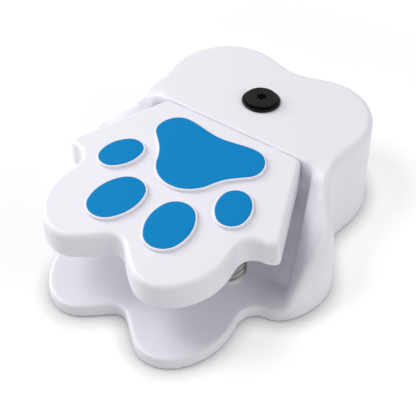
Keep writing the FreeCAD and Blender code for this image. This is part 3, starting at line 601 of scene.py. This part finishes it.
class FOUNTAIN_OT_thread(bpy.types.Operator):
    """Model the hose thread inside the swivel nut"""
    bl_idname = "fountain.thread"
    bl_label = "Hose Thread"

    def execute(self, context):
        sizes = context.scene.fountain_thread
        nut_low, nut_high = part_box("swivel_nut")
        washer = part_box("hose_washer")[1]
        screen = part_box("filter_screen")[1]
        axis_z = (nut_low.z + nut_high.z) / 2
        mounts = {mount["name"]: mount for mount in frame["record"]["mounts"]}
        bore = mounts["hose_inlet"]["dims"]["r_mm"] * MM
        turns = (nut_high.y - screen.y) / sizes.pitch - 2 * THREAD_LEAD
        deselect()
        bpy.ops.mesh.primitive_circle_add(vertices=6, radius=sizes.depth, fill_type="NGON",
                                          location=(bore, 0, 0), rotation=(0, 0, radians(30)))
        ridge = bpy.context.object
        ridge.name = ridge.data.name = "swivel_thread"
        settled(ridge)
        coil = ridge.modifiers.new("Thread", "SCREW")
        coil.axis = "Y"
        coil.angle = radians(360) * turns
        coil.screw_offset = sizes.pitch * turns
        coil.steps = coil.render_steps = int(sizes.steps * turns)
        coil.use_merge_vertices = True
        coil.use_normal_calculate = True
        bpy.ops.object.modifier_apply(modifier=coil.name)
        ridge.location = (0, max(washer.y, screen.y) + THREAD_LEAD * sizes.pitch, axis_z)
        settled(ridge)
        bpy.ops.object.mode_set(mode="EDIT")
        bpy.ops.mesh.select_all(action="SELECT")
        bpy.ops.mesh.normals_make_consistent(inside=False)
        bpy.ops.object.mode_set(mode="OBJECT")
        shaded(ridge, angle=50)
        ridge.data.materials.append(bpy.data.materials["Black nylon"])
        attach(ridge, "hose_nut")
        return {"FINISHED"}


class FOUNTAIN_OT_stage(bpy.types.Operator):
    """Set up the floor, the soft studio light and the camera"""
    bl_idname = "fountain.stage"
    bl_label = "Studio"

    def execute(self, context):
        settings = context.scene.fountain_stage
        self.floor(settings)
        self.sky(context.scene, settings)
        left = self.lamp("Left light", settings.left_power)
        self.spare_floor(left)
        self.lamp("Top light", settings.top_power)
        self.lamp("Right light", settings.right_power)
        self.camera(context.scene, settings)
        context.scene.view_settings.view_transform = "Standard"
        return {"FINISHED"}

    def seen_by_eye(self, tree):
        """1 for rays from the camera and those seen in metal or glass."""
        path = add_node(tree, "ShaderNodeLightPath")
        seen = path.outputs["Is Camera Ray"]
        for name in ("Is Glossy Ray", "Is Transmission Ray"):
            most = add_node(tree, "ShaderNodeMath", operation="MAXIMUM")
            tree.links.new(seen, most.inputs[0])
            tree.links.new(path.outputs[name], most.inputs[1])
            seen = most.outputs[0]
        return seen

    def floor(self, settings):
        """A wide pale floor with painted shade in a dark seam under the object, and a faint glow of its
        own.

        The camera, and reflections in metal, see it lifted and turning white further out."""
        deselect()
        bpy.ops.mesh.primitive_plane_add(size=FLOOR_WIDTH, location=(0, 0, CAD_LOW.z))
        floor = bpy.context.object
        floor.name = floor.data.name = "studio_floor"
        settled(floor)
        made, tree, shader = new_material("Studio floor")
        shader.inputs["Roughness"].default_value = 0.9
        shader.inputs["Specular IOR Level"].default_value = 0.0
        # Painted shade: ambient occlusion darkens the floor's colour near the object and, raised to a
        # power, the lift that the camera sees there
        near = add_node(tree, "ShaderNodeAmbientOcclusion", samples=16, Color=(*settings.floor, 1),
                        Distance=settings.contact)
        dark = add_node(tree, "ShaderNodeMath", operation="POWER")
        dark.inputs[1].default_value = settings.contact_depth
        shown = add_node(tree, "ShaderNodeMath", operation="MULTIPLY")
        tree.links.new(near.outputs["Color"], shader.inputs["Base Color"])
        tree.links.new(near.outputs["AO"], dark.inputs[0])
        tree.links.new(dark.outputs[0], shown.inputs[0])
        place = add_node(tree, "ShaderNodeTexCoord")
        away = add_node(tree, "ShaderNodeVectorMath", operation="LENGTH")
        rise = add_node(tree, "ShaderNodeMapRange", interpolation_type="SMOOTHSTEP",
                        From_Min=settings.fade_from, From_Max=settings.fade_to,
                        To_Min=settings.floor_lift, To_Max=1.0)
        lift = add_node(tree, "ShaderNodeMix", data_type="FLOAT")
        lift.inputs["A"].default_value = settings.floor_glow
        tree.links.new(place.outputs["Object"], away.inputs[0])
        tree.links.new(away.outputs["Value"], rise.inputs["Value"])
        tree.links.new(self.seen_by_eye(tree), lift.inputs["Factor"])
        tree.links.new(rise.outputs["Result"], shown.inputs[1])
        tree.links.new(shown.outputs[0], lift.inputs["B"])
        shader.inputs["Emission Color"].default_value = (1, 1, 1, 1)
        tree.links.new(lift.outputs["Result"], shader.inputs["Emission Strength"])
        floor.data.materials.append(made)

    def sky(self, scene, settings):
        """Even grey light, seen as white."""
        scene.world = bpy.data.worlds.new("Studio sky")
        scene.world.use_nodes = True
        tree = scene.world.node_tree
        back = tree.nodes["Background"]
        back.inputs["Color"].default_value = (1, 1, 1, 1)
        ramp = add_node(tree, "ShaderNodeMapRange", To_Min=settings.sky, To_Max=1.0)
        tree.links.new(self.seen_by_eye(tree), ramp.inputs["Value"])
        tree.links.new(ramp.outputs["Result"], back.inputs["Strength"])

    def lamp(self, name, power):
        """A round soft lamp that points at the middle of the object."""
        size, at = LAMPS[name]
        deselect()
        bpy.ops.object.light_add(type="AREA", location=at)
        lamp = bpy.context.object
        lamp.name = lamp.data.name = name
        lamp.data.shape = "DISK"
        lamp.data.size = size
        lamp.data.energy = power
        middle = (CAD_LOW + CAD_HIGH) / 2
        lamp.rotation_euler = (Vector(at) - middle).to_track_quat("Z", "Y").to_euler()
        return lamp

    def spare_floor(self, lamp):
        """Keeps a lamp's light, and so its long shadow, off the floor."""
        spared = bpy.data.collections.new("Spared by the left light")
        spared.objects.link(bpy.data.objects["studio_floor"])
        spared.collection_objects[0].light_linking.link_state = "EXCLUDE"
        lamp.light_linking.receiver_collection = spared

    def camera(self, scene, settings):
        """A camera whose lens, place and turn match the photo."""
        deselect()
        bpy.ops.object.camera_add(location=settings.camera_at, rotation=settings.camera_turn)
        camera = bpy.context.object
        camera.data.lens = settings.lens * 1000
        camera.data.sensor_width = SENSOR_WIDTH
        camera.data.clip_start = 0.01
        scene.camera = camera


class FOUNTAIN_PT_panel(bpy.types.Panel):
    """Sizes, colours and steps of the fountain"""
    bl_idname = "FOUNTAIN_PT_panel"
    bl_label = "Dog Fountain"
    bl_space_type = "VIEW_3D"
    bl_region_type = "UI"
    bl_category = "Fountain"

    def draw(self, context):
        for name, group in GROUPS.items():
            box = self.layout.box()
            settings = getattr(context.scene, name)
            for key in group.__annotations__:
                box.prop(settings, key)
        for step in STEPS:
            self.layout.operator(step.bl_idname)


GROUPS = {
    "fountain_shell": ShellLooks,
    "fountain_pads": PadLooks,
    "fountain_metal": MetalLooks,
    "fountain_dark": DarkLooks,
    "fountain_thread": ThreadSizes,
    "fountain_stage": StageSettings,
}
STEPS = (
    FOUNTAIN_OT_casing, FOUNTAIN_OT_pads, FOUNTAIN_OT_nozzle, FOUNTAIN_OT_springs,
    FOUNTAIN_OT_valve, FOUNTAIN_OT_thread, FOUNTAIN_OT_stage,
)


def register():
    for group in GROUPS.values():
        bpy.utils.register_class(group)
    for step in STEPS:
        bpy.utils.register_class(step)
    bpy.utils.register_class(FOUNTAIN_PT_panel)
    for name, group in GROUPS.items():
        setattr(bpy.types.Scene, name, PointerProperty(type=group))


def unregister():
    for name in GROUPS:
        delattr(bpy.types.Scene, name)
    bpy.utils.unregister_class(FOUNTAIN_PT_panel)
    for step in reversed(STEPS):
        bpy.utils.unregister_class(step)
    for group in reversed(list(GROUPS.values())):
        bpy.utils.unregister_class(group)


def main():
    register()
    bpy.ops.fountain.casing()
    bpy.ops.fountain.pads()
    bpy.ops.fountain.nozzle()
    bpy.ops.fountain.springs()
    bpy.ops.fountain.valve()
    bpy.ops.fountain.thread()
    bpy.ops.fountain.stage()


if __name__ == "__main__":
    main()
